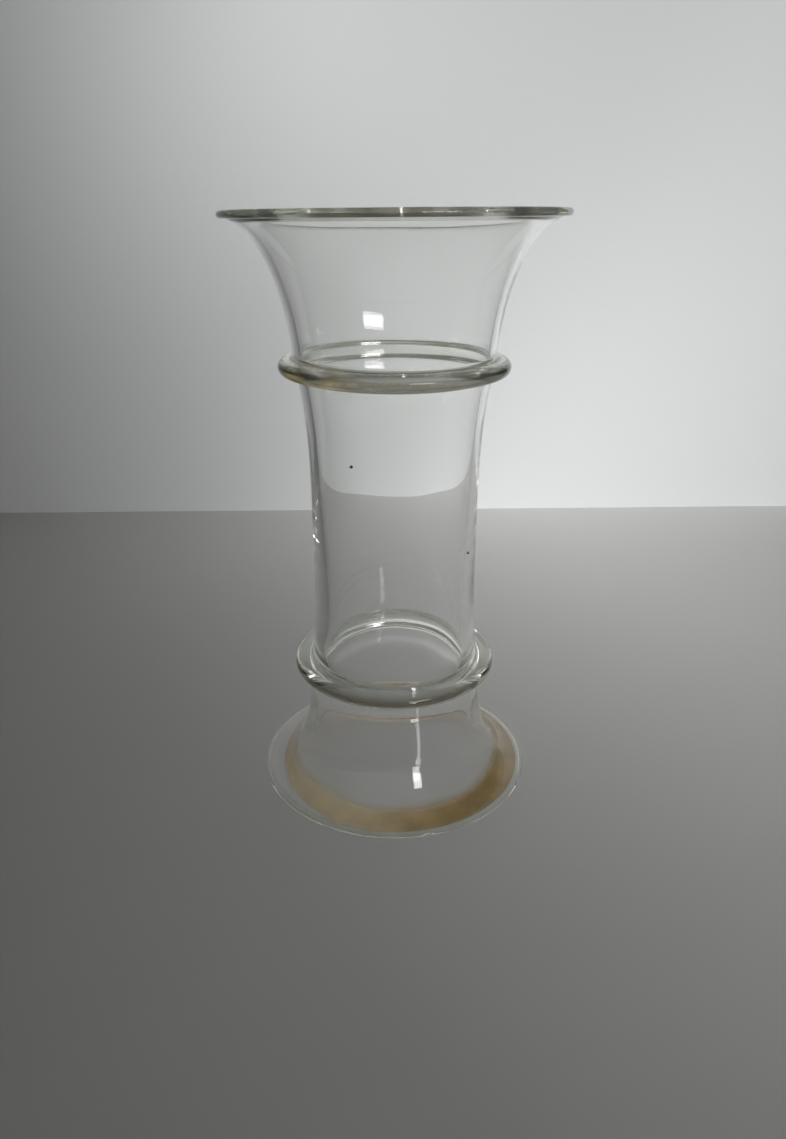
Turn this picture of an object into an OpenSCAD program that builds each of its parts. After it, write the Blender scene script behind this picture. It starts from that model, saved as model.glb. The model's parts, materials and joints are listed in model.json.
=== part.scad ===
// Clear glass vessel: a trumpet mouth, a waisted column and a bell foot, with
// two solid glass rings fused round the wall where the three stretches meet.
// Millimetres, +Z up. The origin is on the axis, on the surface it stands on.

/* [Body] */
// Overall height, from the table to the top of the mouth's rim
total_h = 268.6; // [240:0.1:300]
// Height of the middle of the upper ring, where mouth and column meet
upper_seam_z = 205.4; // [190:0.1:215]
// Height of the middle of the lower ring, where column and foot meet
lower_seam_z = 60.3; // [50:0.1:75]
// Outer radius of the wall at the upper ring
upper_seam_r = 44.6; // [43:0.1:46]
// Outer radius of the wall at the lower ring
lower_seam_r = 41.2; // [40.5:0.1:43]
// Wall thickness at the upper ring
upper_seam_wall = 3.2; // [2:0.1:4]
// Wall thickness at the lower ring
lower_seam_wall = 4.7; // [3:0.1:6]

/* [Mouth] */
// Outer radius of the rim
rim_r = 73; // [68:0.1:80]
// Thickness of the rolled bead on the rim
rim_bead_d = 3.2; // [2.6:0.1:5]
// Wall thickness beside the rim bead
mouth_edge_wall = 2.4; // [1.6:0.1:2.5]
// How much of the mouth's widening is a straight taper
mouth_taper = 2.6; // [0:0.1:6]
// How square the mouth's flare is: 2 is a quarter ellipse, more is a sharper turn
mouth_squareness = 2; // [2:0.1:3]

/* [Column] */
// Outer radius at the waist
waist_r = 38.9; // [36:0.1:40]
// Height of the waist
waist_z = 112.7; // [90:0.1:140]
// How late the column widens towards the upper ring
upper_swell = 4.2; // [2:0.1:6]
// How late the column widens towards the lower ring
lower_swell = 2.8; // [2:0.1:6]

/* [Foot] */
// Outer radius of the foot
foot_r = 68.3; // [64:0.1:76]
// Thickness of the foot's rounded edge
foot_bead_d = 2.2; // [2:0.1:3]
// Depth ground off under the edge, which leaves a flat ring to stand on
ground_depth = 0.1; // [0.05:0.05:0.3]
// Wall thickness beside the foot's edge
foot_edge_wall = 1.8; // [1.4:0.1:1.9]
// How much of the foot's widening is a straight taper
foot_taper = 3.3; // [0:0.1:6]
// How square the foot's flare is: 2 is a quarter ellipse, more is a sharper turn
foot_squareness = 3; // [2:0.1:3.5]

/* [Rings] */
// Rod diameter of the upper ring
upper_ring_d = 7; // [5:0.1:8]
// Outer radius of the upper ring
upper_ring_r = 51.5; // [50:0.1:54]
// Rod diameter of the lower ring
lower_ring_d = 7.4; // [5:0.1:8]
// Outer radius of the lower ring
lower_ring_r = 49.7; // [48:0.1:52]
// Height of the web that fuses a ring to the wall, as a share of its rod
web_share = 0.7; // [0.4:0.05:0.9]

/* [Hidden] */

// Straight steps along each curved outline
flare_steps = 18;
column_steps = 20;
// A flare stops this many degrees short of level
flare_end = 87;
// Sides of a circle about the axis, and round a bead's or ring's section
turn_fn = 144;
rod_fn = 48;

rim_bead_r = rim_bead_d / 2;
rim_bead_at = [rim_r - rim_bead_r, total_h - rim_bead_r];
foot_bead_r = foot_bead_d / 2;
foot_bead_at = [foot_r - foot_bead_r, foot_bead_r - ground_depth];
// A flare's end lies under or over the middle of its bead, half a wall away
mouth_rise = rim_bead_at.y - mouth_edge_wall / 2 - upper_seam_z;
foot_drop = lower_seam_z - foot_bead_at.y - foot_edge_wall / 2;

glass = [0.80, 0.84, 0.80, 0.45];
glass_edge = [0.62, 0.68, 0.60, 0.70];

function mix(from, to, share) = from + (to - from) * share;

// Outline of a flare: a superellipse quarter on a straight taper, from the
// seam's radius out to end_r, over a height that is negative for a foot.
function flare(seam_r, seam_z, end_r, taper, height, squareness) =
    let (
        turn = 2 / squareness,
        reach = end_r - seam_r - taper * pow(sin(flare_end), turn),
        bulge = reach / (1 - pow(cos(flare_end), turn)),
        rise = height / pow(sin(flare_end), turn)
    )
    [for (i = [0 : flare_steps])
        let (
            angle = flare_end * i / flare_steps,
            along = pow(sin(angle), turn),
            around = 1 - pow(cos(angle), turn)
        )
        [seam_r + taper * along + bulge * around, seam_z + rise * along]];

// The other side of a wall: each point of an outline moved square to it, by a
// thickness that runs evenly from one end to the other. side is 1 where the
// outline climbs and -1 where it falls. The first point moves level, so that
// the seam there is flat.
function across_wall(outline, first_wall, last_wall, side) =
    let (last = len(outline) - 1)
    [for (i = [0 : last])
        let (
            along = outline[min(i + 1, last)] - outline[max(i - 1, 0)],
            square_to = side * [-along.y, along.x] / norm(along),
            wall = mix(first_wall, last_wall, i / last)
        )
        outline[i] + wall * (i == 0 ? [-1, 0] : square_to)];

function reversed(points) = [for (i = [len(points) - 1 : -1 : 0]) points[i]];

// Radius of the column's outside at a height
function column_r(z) =
    z > waist_z
    ? mix(waist_r, upper_seam_r, pow((z - waist_z) / (upper_seam_z - waist_z), upper_swell))
    : mix(waist_r, lower_seam_r, pow((waist_z - z) / (waist_z - lower_seam_z), lower_swell));

mouth_outline = flare(upper_seam_r, upper_seam_z, rim_bead_at.x, mouth_taper, mouth_rise,
                      mouth_squareness);
foot_outline = flare(lower_seam_r, lower_seam_z, foot_bead_at.x, foot_taper, -foot_drop,
                     foot_squareness);
column_outline = [for (i = [0 : column_steps])
    let (z = mix(lower_seam_z, upper_seam_z, i / column_steps))
    [column_r(z), z]];

mouth_inside = across_wall(mouth_outline, upper_seam_wall, mouth_edge_wall, 1);
foot_inside = across_wall(foot_outline, lower_seam_wall, foot_edge_wall, -1);
column_inside = [for (i = [0 : column_steps])
    column_outline[i] - [mix(lower_seam_wall, upper_seam_wall, i / column_steps), 0]];

// Section of a wall between its two outlines
module wall_section(outside, inside) {
    polygon(concat(outside, reversed(inside)));
}

// Section of a rod of glass, round about a point
module rod_section(at, radius) {
    translate(at)
        circle(r = radius, $fn = rod_fn);
}

// A ring's rod and the web behind it, which starts inside the wall at wall_at,
// cut back to the outside of the wall
module ring(at, radius, wall_at) {
    web_h = 2 * radius * web_share;
    rotate_extrude($fn = turn_fn)
        difference() {
            union() {
                rod_section(at, radius);
                translate([wall_at, at.y - web_h / 2])
                    square([at.x - wall_at, web_h]);
            }
            wall_section(mouth_outline, mouth_inside);
            wall_section(column_outline, column_inside);
            wall_section(foot_outline, foot_inside);
        }
}

module mouth_rim_bead() {
    color(glass_edge)
        rotate_extrude($fn = turn_fn)
            difference() {
                rod_section(rim_bead_at, rim_bead_r);
                wall_section(mouth_outline, mouth_inside);
            }
}

module trumpet_mouth() {
    color(glass)
        rotate_extrude($fn = turn_fn)
            wall_section(mouth_outline, mouth_inside);
}

module upper_ring() {
    color(glass_edge)
        ring([upper_ring_r - upper_ring_d / 2, upper_seam_z], upper_ring_d / 2,
             upper_seam_r - upper_seam_wall / 2);
}

module column() {
    color(glass)
        rotate_extrude($fn = turn_fn)
            wall_section(column_outline, column_inside);
}

module lower_ring() {
    color(glass_edge)
        ring([lower_ring_r - lower_ring_d / 2, lower_seam_z], lower_ring_d / 2,
             lower_seam_r - lower_seam_wall / 2);
}

module bell_foot() {
    color(glass)
        rotate_extrude($fn = turn_fn)
            wall_section(foot_outline, foot_inside);
}

module foot_rim_bead() {
    color(glass_edge)
        rotate_extrude($fn = turn_fn)
            difference() {
                rod_section(foot_bead_at, foot_bead_r);
                wall_section(foot_outline, foot_inside);
                translate([0, -foot_bead_d])
                    square([foot_r, foot_bead_d]);
            }
}

mouth_rim_bead();
trumpet_mouth();
upper_ring();
column();
lower_ring();
bell_foot();
foot_rim_bead();
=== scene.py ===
"""Looks of a footed vessel of clear blown glass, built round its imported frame.

One smooth section of glass is worked out from the frame's sizes: foot, column, mouth, two fused
rings and two rolled edges. Each piece of the frame takes its own stretch of that section, turned
about the axis, so that the pieces meet face to face and refract light as one body of glass.
"""

import json
import logging
import math
from dataclasses import dataclass, field
from enum import Enum

import bpy
import numpy as np
from mathutils import Euler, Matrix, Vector

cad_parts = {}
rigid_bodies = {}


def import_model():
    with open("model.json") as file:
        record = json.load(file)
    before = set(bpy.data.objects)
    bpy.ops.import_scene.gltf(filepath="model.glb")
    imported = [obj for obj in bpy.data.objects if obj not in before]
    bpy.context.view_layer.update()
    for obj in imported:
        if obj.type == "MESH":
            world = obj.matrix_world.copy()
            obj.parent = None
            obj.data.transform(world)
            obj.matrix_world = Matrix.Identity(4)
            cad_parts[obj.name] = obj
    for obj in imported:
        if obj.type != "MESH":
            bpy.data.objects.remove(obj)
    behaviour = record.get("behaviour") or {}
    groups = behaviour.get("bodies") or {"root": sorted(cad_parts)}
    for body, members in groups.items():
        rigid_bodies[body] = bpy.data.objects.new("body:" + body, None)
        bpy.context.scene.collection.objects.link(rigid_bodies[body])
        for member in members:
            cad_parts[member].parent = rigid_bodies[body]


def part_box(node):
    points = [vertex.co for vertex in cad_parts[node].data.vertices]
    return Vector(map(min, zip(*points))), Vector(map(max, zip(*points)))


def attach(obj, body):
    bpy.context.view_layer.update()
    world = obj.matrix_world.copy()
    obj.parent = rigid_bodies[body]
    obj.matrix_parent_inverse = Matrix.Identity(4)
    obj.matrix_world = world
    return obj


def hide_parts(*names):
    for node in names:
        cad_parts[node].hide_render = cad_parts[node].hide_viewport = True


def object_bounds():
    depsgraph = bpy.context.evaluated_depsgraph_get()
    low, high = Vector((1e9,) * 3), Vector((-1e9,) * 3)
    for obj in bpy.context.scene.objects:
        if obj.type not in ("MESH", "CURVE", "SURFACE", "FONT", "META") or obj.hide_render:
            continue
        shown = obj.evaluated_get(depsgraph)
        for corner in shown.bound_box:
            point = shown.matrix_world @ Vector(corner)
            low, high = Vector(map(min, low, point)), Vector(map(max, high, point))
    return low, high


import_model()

CAD_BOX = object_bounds()
BODY = "root"
MM = 0.001
TURN = 2 * math.pi
log = logging.getLogger("vessel")

Colour = tuple[float, float, float]
Place = tuple[float, float, float]

# Where a Mix node keeps its colour sockets, which share their names with its other kinds
MIX_FACTOR, MIX_FIRST, MIX_SECOND, MIX_RESULT = 0, 6, 7, 2


class Kind(Enum):
    """The shader nodes that the finishes use."""

    PRINCIPLED = "ShaderNodeBsdfPrincipled"
    OUTPUT = "ShaderNodeOutputMaterial"
    MATH = "ShaderNodeMath"
    VECTOR_MATH = "ShaderNodeVectorMath"
    MIX = "ShaderNodeMix"
    NOISE = "ShaderNodeTexNoise"
    RANGE = "ShaderNodeMapRange"
    BUMP = "ShaderNodeBump"
    PLACE = "ShaderNodeTexCoord"
    SPLIT = "ShaderNodeSeparateXYZ"
    GEOMETRY = "ShaderNodeNewGeometry"
    TRANSPARENT = "ShaderNodeBsdfTransparent"
    MIX_SHADER = "ShaderNodeMixShader"
    LIGHT_PATH = "ShaderNodeLightPath"
    BACKGROUND = "ShaderNodeBackground"
    WORLD_OUTPUT = "ShaderNodeOutputWorld"


class Sock:
    """A socket that Python's operators combine with others by Math nodes."""

    def __init__(self, graph: "Graph", socket: bpy.types.NodeSocket) -> None:
        """Wrap one output socket.

        Args:
            graph: The graph that new nodes are made in.
            socket: The socket to wrap.
        """
        self.graph = graph
        self.socket = socket

    def _math(self, operation: str, *values: "Sock | float") -> "Sock":
        """Add one Math node.

        Args:
            operation: The node's operation.
            values: What its inputs take, in order.

        Returns:
            The node's result.
        """
        return self.graph.node(Kind.MATH, {"operation": operation}, dict(enumerate(values)))["Value"]

    def __add__(self, other: "Sock | float") -> "Sock":
        """Add a value."""
        return self._math("ADD", self, other)

    def __sub__(self, other: "Sock | float") -> "Sock":
        """Take a value away."""
        return self._math("SUBTRACT", self, other)

    def __rsub__(self, other: "Sock | float") -> "Sock":
        """Take this from a value."""
        return self._math("SUBTRACT", other, self)

    def __mul__(self, other: "Sock | float") -> "Sock":
        """Multiply by a value."""
        return self._math("MULTIPLY", self, other)

    def __truediv__(self, other: "Sock | float") -> "Sock":
        """Divide by a value."""
        return self._math("DIVIDE", self, other)

    def __rtruediv__(self, other: "Sock | float") -> "Sock":
        """Divide a value by this."""
        return self._math("DIVIDE", other, self)

    def __gt__(self, other: float) -> "Sock":
        """Give 1 where this is more than a value, and 0 elsewhere."""
        return self._math("GREATER_THAN", self, other)

    __radd__ = __add__
    __rmul__ = __mul__

    def hypot(self, other: "Sock") -> "Sock":
        """Give the length of a vector with these two parts."""
        return self._math("SQRT", self * self + other * other)

    def ramp(self, start: float, end: float, low: float = 0.0, high: float = 1.0) -> "Sock":
        """Turn a range of values smoothly into another, held at both ends.

        Args:
            start: The value that becomes low.
            end: The value that becomes high.
            low: The result up to start.
            high: The result from end on.

        Returns:
            The new value.
        """
        settings = {"interpolation_type": "SMOOTHSTEP"}
        values = {"Value": self, "From Min": start, "From Max": end, "To Min": low, "To Max": high}
        return self.graph.node(Kind.RANGE, settings, values)["Result"]


class Outputs:
    """The output sockets of one node, by name."""

    def __init__(self, graph: "Graph", node: bpy.types.Node) -> None:
        """Wrap a node.

        Args:
            graph: The graph that it is in.
            node: The node.
        """
        self.graph = graph
        self.node = node

    def __getitem__(self, name: str | int) -> Sock:
        """Give an output as a value that can be combined."""
        return Sock(self.graph, self.node.outputs[name])


class Graph:
    """The nodes of one material or world."""

    def __init__(self, tree: bpy.types.NodeTree) -> None:
        """Start with an empty tree.

        Args:
            tree: The node tree to fill.
        """
        self.tree = tree
        tree.nodes.clear()

    def node(self, kind: Kind, settings: dict | None = None, values: dict | None = None) -> Outputs:
        """Add a node.

        Args:
            kind: The node's type.
            settings: The node's own properties, which are set first.
            values: What each input takes, by name or number: a value or a link.

        Returns:
            The node's outputs.
        """
        node = self.tree.nodes.new(kind.value)
        for name, value in (settings or {}).items():
            setattr(node, name, value)
        for name, value in (values or {}).items():
            if isinstance(value, Sock):
                self.tree.links.new(value.socket, node.inputs[name])
            else:
                node.inputs[name].default_value = value
        return Outputs(self, node)

    def mix_colour(self, factor: Sock, first: "Colour | Sock", second: "Colour | Sock") -> Sock:
        """Mix two colours.

        Args:
            factor: How much of the second there is.
            first: The colour where factor is 0.
            second: The colour where factor is 1.

        Returns:
            The mixed colour.
        """
        ends = [c if isinstance(c, Sock) else (*c, 1.0) for c in (first, second)]
        values = {MIX_FACTOR: factor, MIX_FIRST: ends[0], MIX_SECOND: ends[1]}
        return self.node(Kind.MIX, {"data_type": "RGBA"}, values)[MIX_RESULT]

    def place(self) -> Sock:
        """Give the place on the object, in metres."""
        return self.node(Kind.PLACE)["Object"]

    def noise(self, scale: float, detail: float = 2.0, stretch: Colour = (1, 1, 1)) -> Sock:
        """Give smooth noise from 0 to 1.

        Args:
            scale: Waves in a metre.
            detail: How many finer waves are added.
            stretch: How the pattern is squeezed along each axis.

        Returns:
            The noise.
        """
        spot = self.node(Kind.VECTOR_MATH, {"operation": "MULTIPLY"}, {0: self.place(), 1: stretch})
        values = {"Vector": spot["Vector"], "Scale": scale, "Detail": detail}
        return self.node(Kind.NOISE, {}, values)["Fac"]

    def bump(self, height: Sock, depth: float) -> Sock:
        """Turn a height into a normal.

        Args:
            height: The height, from 0 to 1.
            depth: What a height of 1 measures, in metres.

        Returns:
            The normal.
        """
        values = {"Strength": 1.0, "Distance": depth, "Height": height}
        return self.node(Kind.BUMP, {}, values)["Normal"]

    def dress(self, values: dict) -> None:
        """Make the surface one Principled shader, whose sockets take these values."""
        shader = self.node(Kind.PRINCIPLED, {}, values)
        self.node(Kind.OUTPUT, {}, {"Surface": shader["BSDF"]})


def stand(name: str, data: bpy.types.ID) -> bpy.types.Object:
    """Stand a mesh, light or camera in the scene.

    Args:
        name: The object's name.
        data: What it is made of.

    Returns:
        The object.
    """
    thing = bpy.data.objects.new(name, data)
    bpy.context.scene.collection.objects.link(thing)
    return thing


def grid_faces(rows: int, around: int) -> np.ndarray:
    """Number the corners of each face of a grid of points that closes both ways.

    Args:
        rows: How many rows it has.
        around: How many points a row has.

    Returns:
        Four corners for each row and point.
    """
    index = np.arange(rows * around).reshape(rows, around)
    up = np.roll(index, -1, 0)
    return np.stack([index, np.roll(index, -1, 1), np.roll(up, -1, 1), up], -1)


def faced(name: str, verts: list, faces: list, *finishes: bpy.types.Material) -> bpy.types.Object:
    """Make a smooth mesh of points and faces, and stand it in the scene.

    Args:
        name: Its name.
        verts: Its points.
        faces: The numbers of each face's points, anticlockwise as seen from outside.
        finishes: Its materials.

    Returns:
        The object.
    """
    data = bpy.data.meshes.new(name)
    data.from_pydata(verts, [], faces)
    data.shade_smooth()
    for finish in finishes:
        data.materials.append(finish)
    return stand(name, data)


def new_material(name: str) -> tuple[bpy.types.Material, Graph]:
    """Make a material with an empty graph.

    Args:
        name: The material's name.

    Returns:
        The material and its graph.
    """
    material = bpy.data.materials.new(name)
    material.use_nodes = True
    return material, Graph(material.node_tree)


@dataclass(frozen=True)
class ClearGlass:
    """Clear blown glass: faintly tinted, with the soft cords and ripples that blowing leaves."""

    name: str
    tint: Colour
    cord_tint: Colour
    ior: float = 1.5
    ripple_depth: float = 0.03 * MM
    ripples_per_metre: float = 38.0
    ripple_stretch: Colour = (1.0, 1.0, 0.45)
    cords_per_metre: float = 60.0
    cord_stretch: Colour = (1.0, 1.0, 0.15)

    def base_colour(self, graph: Graph) -> Sock:
        """Vary the tint along long, faint cords.

        Args:
            graph: The graph to build in.

        Returns:
            The colour.
        """
        cords = graph.noise(self.cords_per_metre, 3.0, self.cord_stretch).ramp(0.4, 0.75)
        return graph.mix_colour(cords, self.tint, self.cord_tint)

    def make(self) -> bpy.types.Material:
        """Make the material."""
        material, graph = new_material(self.name)
        ripples = graph.noise(self.ripples_per_metre, 1.0, self.ripple_stretch)
        values = {
            "Base Color": self.base_colour(graph),
            "Roughness": 0.0,
            "IOR": self.ior,
            "Transmission Weight": 1.0,
            "Normal": graph.bump(ripples, self.ripple_depth),
        }
        graph.dress(values)
        return material


@dataclass(frozen=True)
class StainedAndShadedGlass(ClearGlass):
    """Clear glass of a ring, with painted shade on the lower part of its front and perhaps an amber run
    on one side.
    """

    # Painted shade: a dark band over the ring's front below a height, where the glass mirrors the dark
    # room and the camera.
    painted_shade: Colour = (0.11, 0.105, 0.075)
    painted_shade_from: float = 206.0 * MM
    painted_shade_to: float = 207.4 * MM
    painted_shade_cover: float = 1.0
    amber: Colour = (0.42, 0.30, 0.10)
    amber_cover: float = 1.0
    amber_towards: tuple[float, float] = (-0.75, -0.66)
    amber_fade: tuple[float, float] = (0.84, 1.02)
    patches_per_metre: float = 95.0
    ring_r: float = 48.0 * MM

    def base_colour(self, graph: Graph) -> Sock:
        """Mix the painted shade on the ring's front and the amber run into the tint.

        Args:
            graph: The graph to build in.

        Returns:
            The colour.
        """
        clear = ClearGlass.base_colour(self, graph)
        split = graph.node(Kind.SPLIT, {}, {0: graph.place()})
        # Painted shade on the front of the ring, full below the lower height and gone by the upper one.
        front = (split["Y"] / -self.ring_r).ramp(-0.05, 0.5)
        under = split["Z"].ramp(self.painted_shade_from, self.painted_shade_to, 1.0, 0.0)
        painted_shade = graph.mix_colour(front * under * self.painted_shade_cover, clear, self.painted_shade)
        along = split["X"] * self.amber_towards[0] + split["Y"] * self.amber_towards[1]
        side = (along / self.ring_r).ramp(*self.amber_fade)
        patches = graph.noise(self.patches_per_metre, 3.0).ramp(0.38, 0.62)
        return graph.mix_colour(side * patches * self.amber_cover, painted_shade, self.amber)


@dataclass(frozen=True)
class FusedSeam:
    """The face where two stretches of glass are fused, which light passes straight through."""

    name: str = "fused_seam"

    def make(self) -> bpy.types.Material:
        """Make the material."""
        material, graph = new_material(self.name)
        graph.dress({"Alpha": 0.0, "Roughness": 1.0})
        return material


@dataclass(frozen=True)
class DriedResidue:
    """A thin brown layer that a liquid left as it dried: thicker on one side, soft at its edges."""

    name: str = "dried_residue"
    thin: Colour = (0.88, 0.64, 0.27)
    thick: Colour = (0.30, 0.19, 0.05)
    inner_centre: tuple[float, float] = (1.5 * MM, -2.0 * MM)
    inner_r: float = 48.0 * MM
    inner_fade: float = 5.5 * MM
    outer_centre: tuple[float, float] = (6.2 * MM, -4.6 * MM)
    outer_r: float = 61.6 * MM
    outer_fade: float = 2.2 * MM
    cover_thin: float = 0.55
    cover_thick: float = 1.0
    side: float = 32.0 * MM
    wander: float = 5.0 * MM
    wanders_per_metre: float = 28.0
    blotches_per_metre: float = 70.0
    shades_per_metre: float = 60.0
    grains_per_metre: float = 1400.0
    grain_depth: float = 0.05 * MM

    def make(self) -> bpy.types.Material:
        """Make the material."""
        material, graph = new_material(self.name)
        split = graph.node(Kind.SPLIT, {}, {0: graph.place()})
        wander = (graph.noise(self.wanders_per_metre, 2.0) - 0.5) * self.wander
        inner = self.radius(split, self.inner_centre) + wander
        outer = self.radius(split, self.outer_centre) + wander
        inner = inner.ramp(self.inner_r, self.inner_r + self.inner_fade)
        outer = outer.ramp(self.outer_r, self.outer_r + self.outer_fade, 1.0, 0.0)
        side = split["X"].ramp(-self.side, self.side)
        blotches = graph.noise(self.blotches_per_metre, 3.0).ramp(0.25, 0.7, 0.93, 1.0)
        shades = graph.noise(self.shades_per_metre, 4.0).ramp(0.35, 0.75)
        cover = side * (self.cover_thick - self.cover_thin) + self.cover_thin
        grains = graph.noise(self.grains_per_metre, 2.0).ramp(0.35, 0.65)
        values = {
            "Base Color": graph.mix_colour(side * 0.7 + shades * 0.3, self.thin, self.thick),
            "Roughness": 0.85,
            "Alpha": inner * outer * blotches * cover,
            "Normal": graph.bump(grains, self.grain_depth),
        }
        graph.dress(values)
        return material

    @staticmethod
    def radius(split: "Outputs", centre: tuple[float, float]) -> Sock:
        """Give the distance from an upright line through a point."""
        return (split["X"] - centre[0]).hypot(split["Y"] - centre[1])


@dataclass(frozen=True)
class Stone:
    """A dark speck of unmelted batch caught in the glass."""

    name: str = "batch_stone"
    dark: Colour = (0.02, 0.018, 0.014)
    light: Colour = (0.09, 0.08, 0.06)
    grains_per_metre: float = 3000.0

    def make(self) -> bpy.types.Material:
        """Make the material."""
        material, graph = new_material(self.name)
        colour = graph.mix_colour(graph.noise(self.grains_per_metre), self.dark, self.light)
        graph.dress({"Base Color": colour, "Roughness": 0.6})
        return material


@dataclass(frozen=True)
class Paper:
    """The pale card of the studio's floor and backdrop."""

    name: str
    pale: Colour
    shade: Colour
    one_sided: bool = False
    clouds_per_metre: float = 2.2
    waves_per_metre: float = 9.0
    wave_depth: float = 1.5 * MM

    def make(self) -> bpy.types.Material:
        """Make the material."""
        material, graph = new_material(self.name)
        values = {
            "Base Color": graph.mix_colour(graph.noise(self.clouds_per_metre), self.shade, self.pale),
            "Roughness": 0.7,
            "Specular IOR Level": 0.2,
            "Normal": graph.bump(graph.noise(self.waves_per_metre, 4.0), self.wave_depth),
        }
        surface = graph.node(Kind.PRINCIPLED, {}, values)["BSDF"]
        if self.one_sided:
            behind = graph.node(Kind.GEOMETRY)["Backfacing"]
            clear = graph.node(Kind.TRANSPARENT)["BSDF"]
            surface = graph.node(Kind.MIX_SHADER, {}, {0: behind, 1: surface, 2: clear})["Shader"]
        graph.node(Kind.OUTPUT, {}, {"Surface": surface})
        return material


def bezier(start: np.ndarray, leave: np.ndarray, arrive: np.ndarray, end: np.ndarray,
           steps: int) -> np.ndarray:
    """Work out a cubic curve between two points.

    Args:
        start: The first point.
        leave: The handle that it leaves towards.
        arrive: The handle that it arrives from.
        end: The last point.
        steps: How many straight steps it takes.

    Returns:
        The points, both ends included.
    """
    t = np.linspace(0, 1, steps + 1)[:, None]
    u = 1 - t
    return u**3 * start + 3 * u * u * t * leave + 3 * u * t * t * arrive + t**3 * end


def unit(angle: float | np.ndarray) -> np.ndarray:
    """Give the direction at an angle from level, in radians, in the plane of the section."""
    return np.stack([np.cos(angle), np.sin(angle)], -1)


def left_of(line: np.ndarray) -> np.ndarray:
    """Give the direction square to a line, on its left, at each of its points."""
    ahead = np.gradient(line, axis=0)
    ahead /= np.linalg.norm(ahead, axis=1)[:, None]
    return np.stack([-ahead[:, 1], ahead[:, 0]], 1)


def along(points: np.ndarray) -> np.ndarray:
    """Give the distance along a line of points at each of them."""
    return np.concatenate([[0], np.cumsum(np.linalg.norm(np.diff(points, axis=0), axis=1))])


def respaced(points: np.ndarray, step: float) -> np.ndarray:
    """Space points evenly along a line.

    Args:
        points: The line.
        step: The distance wanted between points.

    Returns:
        The same line with even spacing.
    """
    length = along(points)
    wanted = np.linspace(0, length[-1], max(2, round(length[-1] / step)) + 1)
    return np.stack([np.interp(wanted, length, points[:, i]) for i in (0, 1)], 1)


def eased(points: np.ndarray, passes: int) -> np.ndarray:
    """Round off a line's corners, with its ends kept.

    Args:
        points: An evenly spaced line.
        passes: How many times each point moves halfway to the middle of its neighbours.

    Returns:
        The eased line.
    """
    line = points.copy()
    for _ in range(passes):
        line[1:-1] = 0.5 * line[1:-1] + 0.25 * (line[:-2] + line[2:])
    return line


def cut(line: np.ndarray, height: float) -> tuple[np.ndarray, np.ndarray]:
    """Cut a line in two at a height that it passes once.

    Args:
        line: A line that climbs.
        height: Where it is cut.

    Returns:
        The part below and the part above, which share the point at the cut.
    """
    i = int(np.searchsorted(line[:, 1], height))
    share = (height - line[i - 1, 1]) / (line[i, 1] - line[i - 1, 1])
    at = line[i - 1] + share * (line[i] - line[i - 1])
    return np.vstack([line[:i], at]), np.vstack([at, line[i:]])


@dataclass
class Flare:
    """A flared stretch of wall: a superellipse quarter on a straight taper."""

    seam_r: float
    seam_z: float
    end_r: float
    end_z: float
    taper: float
    squareness: float
    steps: int = 160
    stop: float = math.radians(87)

    def outside(self) -> np.ndarray:
        """Work out the outside, from the seam to the end.

        Returns:
            Radius and height of each point.
        """
        turn = 2 / self.squareness
        angle = self.stop * np.arange(self.steps + 1) / self.steps
        rise, swing = np.sin(angle) ** turn, 1 - np.cos(angle) ** turn
        bulge = (self.end_r - self.seam_r - self.taper * rise[-1]) / swing[-1]
        height = (self.end_z - self.seam_z) / rise[-1]
        return np.stack([self.seam_r + self.taper * rise + bulge * swing, self.seam_z + height * rise], 1)

    def inside(self, seam_wall: float, end_wall: float) -> np.ndarray:
        """Work out the inside, square to the outside at each point.

        Args:
            seam_wall: The wall's thickness at the seam.
            end_wall: The wall's thickness at the end.

        Returns:
            Radius and height of each point.
        """
        outside = self.outside()
        side = 1 if self.end_z > self.seam_z else -1
        inward = side * left_of(outside)
        inward[0] = (-1, 0)
        wall = np.linspace(seam_wall, end_wall, len(outside))[:, None]
        return outside + inward * wall


@dataclass
class Bead:
    """A rolled edge: a rod of glass at the end of a wall."""

    centre: np.ndarray
    radius: float
    heading: float
    back: float = math.radians(118)
    steps: int = 36

    def arc(self) -> np.ndarray:
        """Go round the bead from its lower to its upper side.

        Returns:
            Radius and height of each point.
        """
        angles = self.heading + np.linspace(-self.back, self.back, self.steps + 1)
        return self.centre + self.radius * unit(angles)


@dataclass
class RingShape:
    """The outside of a ring that is fused round the wall, with a concave fillet on both sides."""

    centre: np.ndarray
    radius: float
    above: float
    below: float
    open_above: float = math.radians(88)
    open_below: float = math.radians(100)
    steps: int = 56
    fillet_steps: int = 18
    fillet_reach: float = 0.45

    def bump(self, low: np.ndarray, high: np.ndarray) -> np.ndarray:
        """Go from the wall below the ring, round the ring, to the wall above.

        Args:
            low: The point on the wall where the lower fillet starts.
            high: The point on the wall where the upper fillet ends.

        Returns:
            Radius and height of each point.
        """
        angles = np.linspace(-self.open_below, self.open_above, self.steps + 1)
        rod = self.centre + self.radius * unit(angles)
        first = np.linalg.norm(rod[0] - low) * self.fillet_reach
        last = np.linalg.norm(high - rod[-1]) * self.fillet_reach
        onto = unit(angles[0] + math.pi / 2) * first
        off = unit(angles[-1] + math.pi / 2) * last
        up = np.array([0.0, 1.0])
        lower = bezier(low, low + up * first, rod[0] - onto, rod[0], self.fillet_steps)
        upper = bezier(rod[-1], rod[-1] + off, high - up * last, high, self.fillet_steps)
        return np.vstack([lower[:-1], rod, upper[1:]])


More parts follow.
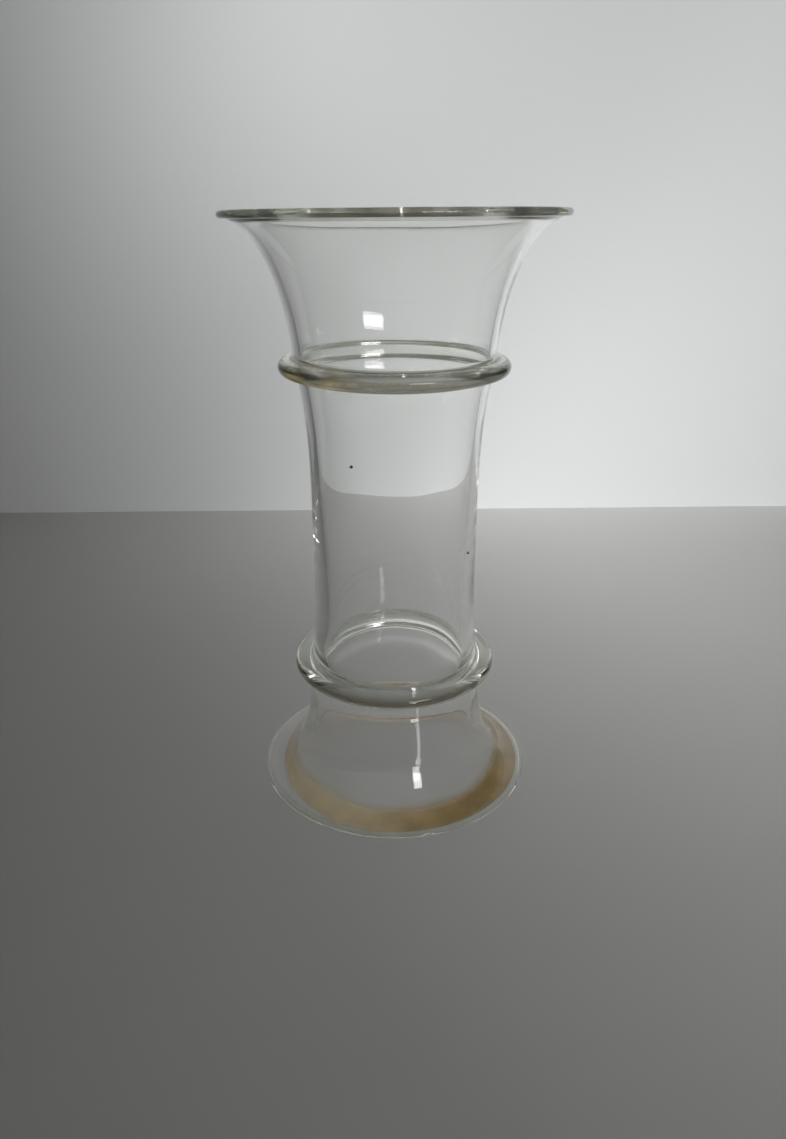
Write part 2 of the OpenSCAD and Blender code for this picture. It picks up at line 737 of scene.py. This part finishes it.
@dataclass(frozen=True)
class Swell:
    """Glass that the inside of the wall gains, or loses, over a stretch of its height."""

    start: float
    peak: float
    end: float
    depth: float

    def at(self, height: np.ndarray) -> np.ndarray:
        """Work out the change in thickness.

        Args:
            height: Heights on the wall.

        Returns:
            What the wall gains at each height, rising and falling smoothly.
        """
        rise = np.clip((height - self.start) / (self.peak - self.start), 0, 1)
        fall = np.clip((self.end - height) / (self.end - self.peak), 0, 1)
        share = np.minimum(rise, fall)
        return self.depth * share * share * (3 - 2 * share)


@dataclass
class GlassSection:
    """The whole section of the vessel, in stretches that follow each other round the glass.

    Heights and outer radii come from the frame. The wall's thicknesses and the shape of each
    flare are the design's own.
    """

    upper_seam_r: float = 44.6 * MM
    lower_seam_r: float = 41.2 * MM
    upper_wall: float = 3.2 * MM
    lower_wall: float = 4.7 * MM
    mouth_edge_wall: float = 2.4 * MM
    foot_edge_wall: float = 1.8 * MM
    waist_r: float = 38.9 * MM
    waist_share: float = 0.361
    upper_swell: float = 4.2
    lower_swell: float = 2.8
    mouth_taper: float = 2.6 * MM
    foot_taper: float = 3.3 * MM
    mouth_squareness: float = 2.0
    foot_squareness: float = 3.0
    mouth_heading: float = math.radians(8)
    foot_heading: float = math.radians(-4)
    foot_bead_r: float = 1.1 * MM
    fillets: tuple[tuple[str, float, float], ...] = (
        ("lower_ring", 5.6 * MM, 5.4 * MM),
        ("upper_ring", 5.4 * MM, 4.8 * MM),
    )
    bead_neck: float = 2.2
    step: float = 0.9 * MM
    ease: int = 14
    swells: tuple[Swell, ...] = (
        Swell(20 * MM, 45 * MM, 52 * MM, -1.6 * MM),
        Swell(46 * MM, 57 * MM, 70 * MM, 1.6 * MM),
        Swell(52 * MM, 80 * MM, 185 * MM, 1.5 * MM),
    )
    stretches: dict[str, np.ndarray] = field(default_factory=dict)
    seams: dict[str, np.ndarray] = field(default_factory=dict)

    def build(self) -> None:
        """Work out every stretch and seam."""
        rim_low, rim_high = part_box("mouth_rim_bead")
        foot_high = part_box("foot_rim_bead")[1]
        lower_z, upper_z = (corner.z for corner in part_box("column"))
        bead_r = (rim_high.z - rim_low.z) / 2
        mouth_bead = Bead(np.array([rim_high.x, rim_high.z]) - bead_r, bead_r, self.mouth_heading)
        foot_bead = Bead(np.array([foot_high.x, foot_high.z]) - self.foot_bead_r,
                         self.foot_bead_r, self.foot_heading)
        mouth = Flare(self.upper_seam_r, upper_z, mouth_bead.centre[0],
                      mouth_bead.centre[1] - self.mouth_edge_wall / 2,
                      self.mouth_taper, self.mouth_squareness)
        foot = Flare(self.lower_seam_r, lower_z, foot_bead.centre[0],
                     foot_bead.centre[1] + self.foot_edge_wall / 2,
                     self.foot_taper, self.foot_squareness)
        column = self.column(lower_z, upper_z)
        outer = np.vstack([foot.outside()[::-1], column[1:-1], mouth.outside()])
        column_inside = column - np.stack([np.linspace(self.lower_wall, self.upper_wall, len(column)),
                                           np.zeros(len(column))], 1)
        inner = np.vstack([foot.inside(self.lower_wall, self.foot_edge_wall)[::-1], column_inside[1:-1],
                           mouth.inside(self.upper_wall, self.mouth_edge_wall)])
        outer, inner = (respaced(line, self.step) for line in (outer, inner))
        outer, inner = eased(outer, self.ease), eased(self.swollen(inner), self.ease)
        rings = {name: self.ring_shape(name, above, below) for name, above, below in self.fillets}
        self.lay_out(outer, inner, mouth_bead, foot_bead, rings, lower_z, upper_z)

    def swollen(self, inner: np.ndarray) -> np.ndarray:
        """Move the wall's inside by what the swells give it.

        Args:
            inner: The wall's inside, from the foot's edge to the rim.

        Returns:
            The new inside.
        """
        gain = sum(swell.at(inner[:, 1]) for swell in self.swells)
        return inner + left_of(inner) * gain[:, None]

    def column(self, lower_z: float, upper_z: float) -> np.ndarray:
        """Work out the column's outside.

        Args:
            lower_z: Height of the lower seam.
            upper_z: Height of the upper seam.

        Returns:
            Radius and height of each point, from below.
        """
        z = np.linspace(lower_z, upper_z, 200)
        waist_z = lower_z + self.waist_share * (upper_z - lower_z)
        up = np.clip((z - waist_z) / (upper_z - waist_z), 0, 1) ** self.upper_swell
        down = np.clip((waist_z - z) / (waist_z - lower_z), 0, 1) ** self.lower_swell
        upper_gain, lower_gain = self.upper_seam_r - self.waist_r, self.lower_seam_r - self.waist_r
        return np.stack([self.waist_r + upper_gain * up + lower_gain * down, z], 1)

    def ring_shape(self, node: str, above: float, below: float) -> RingShape:
        """Take a ring's rod from the frame.

        Args:
            node: The ring's node.
            above: How far over the rod's middle the upper fillet ends.
            below: How far under the rod's middle the lower fillet starts.

        Returns:
            The ring's shape.
        """
        low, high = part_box(node)
        radius = (high.z - low.z) / 2
        return RingShape(np.array([high.x - radius, (high.z + low.z) / 2]), radius, above, below)

    def lay_out(self, outer: np.ndarray, inner: np.ndarray, mouth_bead: Bead, foot_bead: Bead,
                rings: dict[str, RingShape], lower_z: float, upper_z: float) -> None:
        """Cut the wall into stretches, and join them by the rings and the beads.

        Args:
            outer: The wall's outside, from the foot's edge to the rim.
            inner: The wall's inside, the same way.
            mouth_bead: The rim's bead.
            foot_bead: The foot's bead.
            rings: The two rings.
            lower_z: Height of the lower seam.
            upper_z: Height of the upper seam.
        """
        foot_neck = foot_bead.centre[0] - self.bead_neck * foot_bead.radius
        mouth_neck = mouth_bead.centre[0] - self.bead_neck * mouth_bead.radius
        outer, inner = (line[((line[:, 0] < foot_neck) | (line[:, 1] > lower_z))
                             & ((line[:, 0] < mouth_neck) | (line[:, 1] < upper_z))]
                        for line in (outer, inner))
        low, high = rings["lower_ring"], rings["upper_ring"]
        foot_out, rest = cut(outer, low.centre[1] - low.below)
        under_low, rest = cut(rest, lower_z)
        over_low, rest = cut(rest, low.centre[1] + low.above)
        column_out, rest = cut(rest, high.centre[1] - high.below)
        under_high, rest = cut(rest, upper_z)
        over_high, mouth_out = cut(rest, high.centre[1] + high.above)
        foot_in, rest = cut(inner, lower_z)
        column_in, mouth_in = cut(rest, upper_z)
        mouth_round = self.rolled(mouth_out[-2:], mouth_bead, mouth_in[-2:])
        foot_round = self.rolled(foot_in[:2][::-1], foot_bead, foot_out[:2][::-1])
        foot_round[:, 1] = np.maximum(foot_round[:, 1], CAD_BOX[0].z)
        self.stretches = {
            "foot_bead": foot_round,
            "foot_out": foot_out,
            "lower_ring": low.bump(foot_out[-1], column_out[0]),
            "column_out": column_out,
            "upper_ring": high.bump(column_out[-1], mouth_out[0]),
            "mouth_out": mouth_out,
            "mouth_bead": mouth_round,
            "mouth_in": mouth_in[::-1],
            "column_in": column_in[::-1],
            "foot_in": foot_in[::-1],
        }
        self.seams = {"under_low": under_low, "over_low": over_low, "under_high": under_high,
                      "over_high": over_high}

    def rolled(self, wall_from: np.ndarray, bead: Bead, wall_to: np.ndarray) -> np.ndarray:
        """Join a bead to both faces of its wall.

        Args:
            wall_from: The last two points of the face that comes to the bead's lower side.
            bead: The bead.
            wall_to: The last two points of the face that leaves its upper side, towards the bead.

        Returns:
            Radius and height of each point, from one face to the other.
        """
        arc = bead.arc()
        starts = []
        for face, edge, ahead in ((wall_from, arc[0], arc[1] - arc[0]),
                                  (wall_to, arc[-1], arc[-2] - arc[-1])):
            run = face[1] - face[0]
            reach = 0.4 * np.linalg.norm(edge - face[1])
            starts.append(bezier(face[1], face[1] + run / np.linalg.norm(run) * reach,
                                 edge - ahead / np.linalg.norm(ahead) * reach, edge, 8))
        return np.vstack([starts[0][:-1], arc, starts[1][::-1][1:]])


class Wobble:
    """How hand work moves the glass off a true turned shape: a shift of each point, in metres."""

    ROUNDNESS = 0.10 * MM
    THICKNESS = 0.025 * MM
    RIM_TILT = 0.008

    @classmethod
    def moved(cls, r: np.ndarray, z: np.ndarray, turn: np.ndarray) -> np.ndarray:
        """Place points of the section in space.

        Args:
            r: Radius of each point.
            z: Height of each point.
            turn: Angle about the axis.

        Returns:
            The points, with a last axis of X, Y and Z.
        """
        drift = np.sin(2 * turn + 21 * z) + 0.6 * np.sin(3 * turn - 37 * z + 1.3)
        cords = np.sin(5 * turn + 48 * z + 260 * r) + 0.7 * np.sin(9 * turn - 70 * z + 340 * r + 0.7)
        height = CAD_BOX[1].z - CAD_BOX[0].z
        grounded = np.clip(z / (0.03 * height), 0, 1)
        radius = r + (cls.ROUNDNESS * drift + cls.THICKNESS * cords) * grounded
        lift = cls.RIM_TILT * np.clip((z / height - 0.80) / 0.20, 0, 1) ** 3
        x = radius * np.cos(turn)
        return np.stack([x, radius * np.sin(turn), z + lift * x], -1)


@dataclass
class TurnedGlass:
    """The section turned about the axis, as one grid that every piece takes its stretches from."""

    section: GlassSection
    around: int = 256
    points: dict[str, np.ndarray] = field(default_factory=dict)
    normals: dict[str, np.ndarray] = field(default_factory=dict)

    def build(self) -> None:
        """Turn the section, and work out each point's normal across the stretches' ends."""
        names = list(self.section.stretches)
        loop = np.vstack([self.section.stretches[n][:-1] for n in names])
        grid = self.turned(loop)
        down = np.roll(grid, -1, 0) - np.roll(grid, 1, 0)
        round_about = np.roll(grid, -1, 1) - np.roll(grid, 1, 1)
        normal = np.cross(round_about, down)
        normal /= np.linalg.norm(normal, axis=-1)[..., None]
        start = 0
        for name in names:
            count = len(self.section.stretches[name])
            rows = np.arange(start, start + count) % len(loop)
            self.points[name], self.normals[name] = grid[rows], normal[rows]
            start += count - 1

    def turned(self, line: np.ndarray) -> np.ndarray:
        """Turn a line of the section about the axis.

        Args:
            line: Radius and height of each point.

        Returns:
            One row of points for each point of the line.
        """
        turn = np.arange(self.around) * TURN / self.around
        return Wobble.moved(line[:, :1], line[:, 1:], turn[None, :])

    def piece(self, name: str, parts: list[str | np.ndarray],
              *finishes: bpy.types.Material) -> bpy.types.Object:
        """Make one closed piece.

        Args:
            name: The piece's name.
            parts: What its outline follows: names of stretches, and lines of points for seams.
            finishes: The glass, and the finish of the seams.

        Returns:
            The piece.
        """
        rows, normals, fused = [], [], []
        for part, before in zip(parts, [parts[-1], *parts[:-1]]):
            is_glass = isinstance(part, str)
            grid = self.points[part] if is_glass else self.turned(part)
            lean = self.normals[part] if is_glass else np.full(grid.shape, (0.0, 0.0, 1.0))
            if not is_glass and isinstance(before, str):
                lean[0] = self.normals[before][-1]
            rows.append(grid[:-1])
            normals.append(lean[:-1])
            fused += [not is_glass] * (len(grid) - 1)
        grid, lean = np.concatenate(rows), np.concatenate(normals)
        faces = grid_faces(*grid.shape[:2]).reshape(-1, 4).tolist()
        piece = faced(name, grid.reshape(-1, 3).tolist(), faces, *finishes)
        data = piece.data
        data.polygons.foreach_set("material_index", np.repeat(fused, self.around).astype(np.int32))
        data.validate()
        data.normals_split_custom_set_from_vertices(lean.reshape(-1, 3).tolist())
        return piece


def settle(piece: bpy.types.Object, slot: str, *nodes: str) -> None:
    """Hand a finished piece to the frame.

    Args:
        piece: The piece.
        slot: The record's material slot; not used.
        nodes: The frame's nodes that it stands for.
    """
    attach(piece, BODY)
    if nodes:
        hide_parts(*nodes)
    log.info("%s: %d faces, replaces %s", piece.name, len(piece.data.polygons), nodes or "nothing")


@dataclass
class Glazier:
    """What every glass piece is made with: the turned glass and the finishes."""

    glass: TurnedGlass
    wall: bpy.types.Material
    rim: bpy.types.Material
    edge: bpy.types.Material
    upper: bpy.types.Material
    lower: bpy.types.Material
    seam: bpy.types.Material

    def across(self, first: str, second: str) -> np.ndarray:
        """Go straight from the end of one stretch to the start of another."""
        lines = self.glass.section.stretches
        return np.stack([lines[first][-1], lines[second][0]])

    def make(self, node: str, slot: str, finish: bpy.types.Material,
             parts: list[str | np.ndarray]) -> None:
        """Make the piece that stands for a node, which lamps shine through as if it weren't there.

        Args:
            node: The node's name, which the piece's name is made from.
            slot: The record's material slot.
            finish: The glass.
            parts: What the piece's outline follows.
        """
        piece = self.glass.piece(f"{node}_glass", parts, finish, self.seam)
        piece.visible_shadow = False
        piece.visible_diffuse = False
        settle(piece, slot, node)


@dataclass
class Mouth:
    """The trumpet mouth and its rolled rim."""

    glazier: Glazier

    def build(self) -> None:
        """Make the wall and the bead."""
        make, across = self.glazier.make, self.glazier.across
        seams = self.glazier.glass.section.seams
        across_rim = across("mouth_out", "mouth_in")
        make("trumpet_mouth", "wall_glass", self.glazier.wall,
             [seams["over_high"], "mouth_out", across_rim, "mouth_in",
              np.stack([self.glazier.glass.section.stretches["mouth_in"][-1], seams["over_high"][0]])])
        make("mouth_rim_bead", "rod_glass", self.glazier.rim, ["mouth_bead", across_rim[::-1]])


@dataclass
class Column:
    """The waisted column, with two specks caught in its wall."""

    glazier: Glazier
    speck_r: float = 0.70 * MM
    speck_lumps: float = 0.25
    speck_squash: float = 0.8
    specks: tuple[tuple[float, float], ...] = ((-117.5, 0.1685), (-30.5, 0.1235))

    def build(self) -> None:
        """Make the wall and the specks."""
        section = self.glazier.glass.section
        seams, lines = section.seams, section.stretches
        self.glazier.make("column", "wall_glass", self.glazier.wall, [
            seams["over_low"], "column_out", seams["under_high"],
            np.stack([seams["under_high"][-1], lines["column_in"][0]]), "column_in",
            np.stack([lines["column_in"][-1], seams["over_low"][0]])])
        stone = Stone().make()
        for number, (turn, z) in enumerate(self.specks, 1):
            self.speck(f"batch_stone_{number}", math.radians(turn), z, stone)

    def speck(self, name: str, turn: float, z: float, finish: bpy.types.Material) -> None:
        """Make one speck: a small uneven grain on the wall's outside.

        Args:
            name: The piece's name.
            turn: Its angle about the axis.
            z: Its height.
            finish: Its material.
        """
        line = self.glazier.glass.section.stretches["column_out"]
        r = float(np.interp(z, line[:, 1], line[:, 0]))
        centre = np.array([r * math.cos(turn), r * math.sin(turn), z])
        rings, sides = 7, 12
        verts = []
        for i in range(rings + 1):
            tall = math.pi * i / rings
            for j in range(sides):
                swing = TURN * j / sides
                size = self.speck_r * (1 + self.speck_lumps * math.sin(3 * swing + 2 * tall))
                level = math.sin(tall) * unit(swing)
                verts.append(centre + size * np.array([*level, self.speck_squash * math.cos(tall)]))
        faces = grid_faces(rings + 1, sides)[:-1].reshape(-1, 4).tolist()
        settle(faced(name, verts, faces, finish), "wall_glass")


@dataclass
class Rings:
    """The two solid rings that are fused round the wall."""

    glazier: Glazier

    def build(self) -> None:
        """Make both rings."""
        seams = self.glazier.glass.section.seams
        for node, under, over, finish in (("lower_ring", "under_low", "over_low", self.glazier.lower),
                                          ("upper_ring", "under_high", "over_high", self.glazier.upper)):
            inside = np.vstack([seams[under][:-1], seams[over]])[::-1]
            self.glazier.make(node, "rod_glass", finish, [node, inside])


@dataclass
class Foot:
    """The bell foot, its rounded edge and the dried residue under its flange."""

    glazier: Glazier
    residue_from: float = 43.0 * MM
    residue_to: float = 67.4 * MM
    gap: float = 0.06 * MM

    def build(self) -> None:
        """Make the bell, the edge and the residue."""
        section = self.glazier.glass.section
        seams, lines = section.seams, section.stretches
        across_edge = np.stack([lines["foot_in"][-1], lines["foot_out"][0]])
        self.glazier.make("bell_foot", "wall_glass", self.glazier.wall, [
            "foot_out", seams["under_low"], np.stack([seams["under_low"][-1], lines["foot_in"][0]]),
            "foot_in", across_edge])
        self.glazier.make("foot_rim_bead", "rod_glass", self.glazier.edge,
                          ["foot_bead", across_edge[::-1]])
        self.residue()

    def residue(self) -> None:
        """Make the residue: a sheet that follows the flange's underside just clear of it."""
        glass = self.glazier.glass
        under = glass.section.stretches["foot_in"]
        line = under[(under[:, 0] > self.residue_from) & (under[:, 0] < self.residue_to)]
        sheet = line - left_of(line) * self.gap
        sheet[:, 1] = np.maximum(sheet[:, 1], CAD_BOX[0].z + self.gap)
        grid = glass.turned(sheet)
        faces = grid_faces(*grid.shape[:2])[:-1, :, ::-1].reshape(-1, 4).tolist()
        piece = faced("foot_residue", grid.reshape(-1, 3).tolist(), faces, DriedResidue().make())
        piece.visible_shadow = False
        settle(piece, "wall_glass")


def aimed(name: str, data: bpy.types.Light, at: Place, aim: Place) -> bpy.types.Object:
    """Stand a light in the scene.

    Args:
        name: Its name.
        data: The light.
        at: Where it hangs.
        aim: The point that it faces.

    Returns:
        The object.
    """
    light = stand(name, data)
    light.location = at
    light.rotation_euler = (Vector(aim) - Vector(at)).to_track_quat("-Z", "Y").to_euler()
    return light


@dataclass(frozen=True)
class Lamp:
    """One soft rectangular light: where it hangs, the point it faces, its size and its power."""

    name: str
    at: Place
    aim: Place
    size: tuple[float, float]
    watts: float
    spread: float = math.pi

    def hang(self) -> bpy.types.Object:
        """Hang it.

        Returns:
            The light.
        """
        data = bpy.data.lights.new(self.name, "AREA")
        data.shape = "RECTANGLE"
        data.size, data.size_y = self.size
        data.energy = self.watts
        data.spread = self.spread
        light = aimed(self.name, data, self.at, self.aim)
        light.visible_camera = False
        return light


@dataclass(frozen=True)
class Pool:
    """A soft pool of light that is thrown on the backdrop."""

    name: str
    aim: Place
    spread: float
    watts: float
    at: Place = (0.5, -1.2, 0.9)
    softness: float = 0.15

    def hang(self) -> bpy.types.Object:
        """Hang the light that throws it.

        Returns:
            The light.
        """
        data = bpy.data.lights.new(self.name, "SPOT")
        data.energy = self.watts
        data.spot_size = math.radians(self.spread)
        data.spot_blend = 1.0
        data.shadow_soft_size = self.softness
        return aimed(self.name, data, self.at, self.aim)


@dataclass
class Studio:
    """The plain floor and backdrop, the soft light and the camera."""

    backdrop_y: float = 0.406
    backdrop_turn: float = math.radians(1.6)
    camera_at: Place = (-0.0007, -0.3764, 0.2655)
    camera_pitch: float = math.radians(22.86)
    lens: float = 26.42
    backdrop_left: float = 0.50
    backdrop_right: float = 0.42
    backdrop_top: float = 0.47
    room_low: Colour = (0.22, 0.225, 0.22)
    room_high: Colour = (0.05, 0.05, 0.047)
    mirrored_front: Colour = (0.45, 0.45, 0.43)
    mirrored_side: Colour = (0.17, 0.185, 0.15)
    glow: Colour = (0.004, 0.0035, 0.002)
    floor_reach: float = 4.0
    floor_paper: Paper = Paper("floor_card", (0.80, 0.80, 0.785), (0.74, 0.74, 0.725))
    backdrop_paper: Paper = Paper("backdrop_card", (0.86, 0.875, 0.88), (0.80, 0.815, 0.82), True)
    stage_lights: tuple[Lamp | Pool, ...] = (
        Lamp("key", (0.955, -3.0, 2.14), (1.762, -2.496, 2.448), (1.26, 1.57), 232.0),
        Lamp("fill_left", (0.10, -1.166, 0.628), (0.0, 0.41, 0.2), (0.5, 0.5), 0.534, math.radians(60)),
        Lamp("fill_right", (0.35, -1.166, 0.628), (0.35, 0.41, 0.2), (0.5, 0.5), 0.682, math.radians(60)),
        Pool("pool_low", (0.10, 0.41, 0.0), 12.0, 34.6),
        Pool("pool_wide", (0.21, 0.41, 0.05), 24.0, 20.0),
        Pool("pool_high", (-0.10, 0.41, 0.42), 14.0, 42.6),
    )
    window: Lamp = Lamp("window", (0.62, -1.24, 0.46), (0, 0, 0.2), (0.60, 0.17), 3.0)
    gleam_far: Lamp = Lamp("gleam_far", (0.609, -1.249, 0.215), (0, 0, 0.02), (0.20, 0.42), 3.8)
    gleams_on_floor: tuple[Lamp, ...] = (
        Lamp("gleam_mid", (0.123, -0.252, 0.001), (0.123, -0.252, 1.0), (0.018, 0.22), 0.05),
        Lamp("gleam_near", (0.053, -0.108, 0.001), (0.053, -0.108, 1.0), (0.007, 0.10), 0.006),
    )
    gleam_turn: float = math.radians(26)

    def build(self) -> None:
        """Make all of it."""
        far = self.floor_reach
        floor = [(-far, -far, 0), (far, -far, 0), (far, far, 0), (-far, far, 0)]
        c, s = math.cos(self.backdrop_turn), math.sin(self.backdrop_turn)
        top = self.backdrop_top
        left = (-self.backdrop_left * c, self.backdrop_y - self.backdrop_left * s)
        right = (self.backdrop_right * c, self.backdrop_y + self.backdrop_right * s)
        sunk = -10 * MM
        backdrop = [(*left, sunk), (*right, sunk), (*right, top), (*left, top)]
        for name, corners, paper in (("studio_floor", floor, self.floor_paper),
                                     ("studio_backdrop", backdrop, self.backdrop_paper)):
            faced(name, corners, [(0, 1, 2, 3)], paper.make())
        self.lights()
        self.world()
        self.camera()

    def lights(self) -> None:
        """Hang the stage's lights, and the bright things that only the glass mirrors."""
        for lamp in self.stage_lights:
            light = lamp.hang()
            light.visible_glossy = False
            light.visible_transmission = False
        window = self.window.hang()
        gleams = [lamp.hang() for lamp in (self.gleam_far, *self.gleams_on_floor)]
        for light in gleams[1:]:
            light.rotation_euler = (math.pi, 0, self.gleam_turn)
        self.show_in(window, ("trumpet", "mouth", "upper", "column", "lower"))
        for light in gleams:
            self.show_in(light, ("bell", "foot"))
        for light in (window, *gleams):
            light.visible_diffuse = False

    @staticmethod
    def show_in(light: bpy.types.Object, starts: tuple[str, ...]) -> None:
        """Let only some pieces catch a light.

        Args:
            light: The light.
            starts: How the names of those pieces start.
        """
        group = bpy.data.collections.new(f"{light.name}_receivers")
        for piece in bpy.context.scene.collection.objects:
            if piece.name.startswith(starts) and piece.name.endswith("_glass"):
                group.objects.link(piece)
        light.light_linking.receiver_collection = group

    def world(self) -> None:
        """Light the room faintly: pale round about, dim overhead, and dim where glass mirrors it."""
        world = bpy.data.worlds.new("room")
        world.use_nodes = True
        world.cycles.sampling_method = "NONE"
        bpy.context.scene.world = world
        graph = Graph(world.node_tree)
        path = graph.node(Kind.LIGHT_PATH)
        way = graph.node(Kind.SPLIT, {}, {0: graph.node(Kind.PLACE)["Generated"]})
        room = graph.mix_colour(way["Z"].ramp(0.10, 0.55), self.room_low, self.room_high)
        mirrored = graph.mix_colour(way["Y"].ramp(-0.9, -0.3), self.mirrored_front, self.mirrored_side)
        seen = graph.mix_colour(path["Glossy Depth"] > 0.5, room, mirrored)
        colour = graph.mix_colour(path["Is Diffuse Ray"], seen, self.glow)
        shader = graph.node(Kind.BACKGROUND, {}, {"Color": colour, "Strength": 1.0})
        graph.node(Kind.WORLD_OUTPUT, {}, {"Surface": shader["Background"]})

    def camera(self) -> None:
        """Stand the camera in front, looking a little down."""
        data = bpy.data.cameras.new("camera")
        data.lens = self.lens
        data.sensor_width = 36.0
        data.clip_start, data.clip_end = 0.01, 20.0
        camera = stand("camera", data)
        camera.location = self.camera_at
        camera.rotation_euler = Euler((math.pi / 2 - self.camera_pitch, 0, 0))
        bpy.context.scene.camera = camera


def set_light_paths() -> None:
    """Let light go through every layer of glass, and show it with no tone curve."""
    scene = bpy.context.scene
    scene.cycles.max_bounces = 48
    scene.cycles.transmission_bounces = 32
    scene.cycles.glossy_bounces = 40
    scene.cycles.transparent_max_bounces = 48
    scene.view_settings.view_transform = "Standard"


def main() -> None:
    """Build the vessel and the studio."""
    logging.basicConfig(level=logging.INFO, format="%(name)s: %(message)s")
    section = GlassSection()
    section.build()
    glass = TurnedGlass(section)
    glass.build()
    glazier = Glazier(
        glass,
        ClearGlass("wall_glass_clear", (0.998, 0.999, 0.996), (0.990, 0.993, 0.982)).make(),
        # The rim's, the foot edge's and the rings' glass is tinted deeper than the wall's: partly the
        # colour thick glass shows, partly painted shade that darkens these rods, most on the mouth rim.
        ClearGlass("mouth_rim_glass", (0.66, 0.68, 0.59), (0.54, 0.56, 0.46)).make(),
        ClearGlass("foot_edge_glass", (0.95, 0.96, 0.92), (0.90, 0.92, 0.85)).make(),
        # Both rings carry painted shade on their front; the lower ring's is darker and lies lower.
        StainedAndShadedGlass("upper_ring_glass", (0.88, 0.90, 0.83), (0.80, 0.82, 0.72)).make(),
        StainedAndShadedGlass("lower_ring_glass", (0.88, 0.90, 0.83), (0.80, 0.82, 0.72), painted_shade=(0.13, 0.127, 0.09),
                     painted_shade_from=61.5 * MM, painted_shade_to=64.5 * MM, amber_cover=0.0).make(),
        FusedSeam().make(),
    )
    for part in (Mouth(glazier), Column(glazier), Rings(glazier), Foot(glazier)):
        part.build()
    Studio().build()
    set_light_paths()


if __name__ == "__main__":
    main()
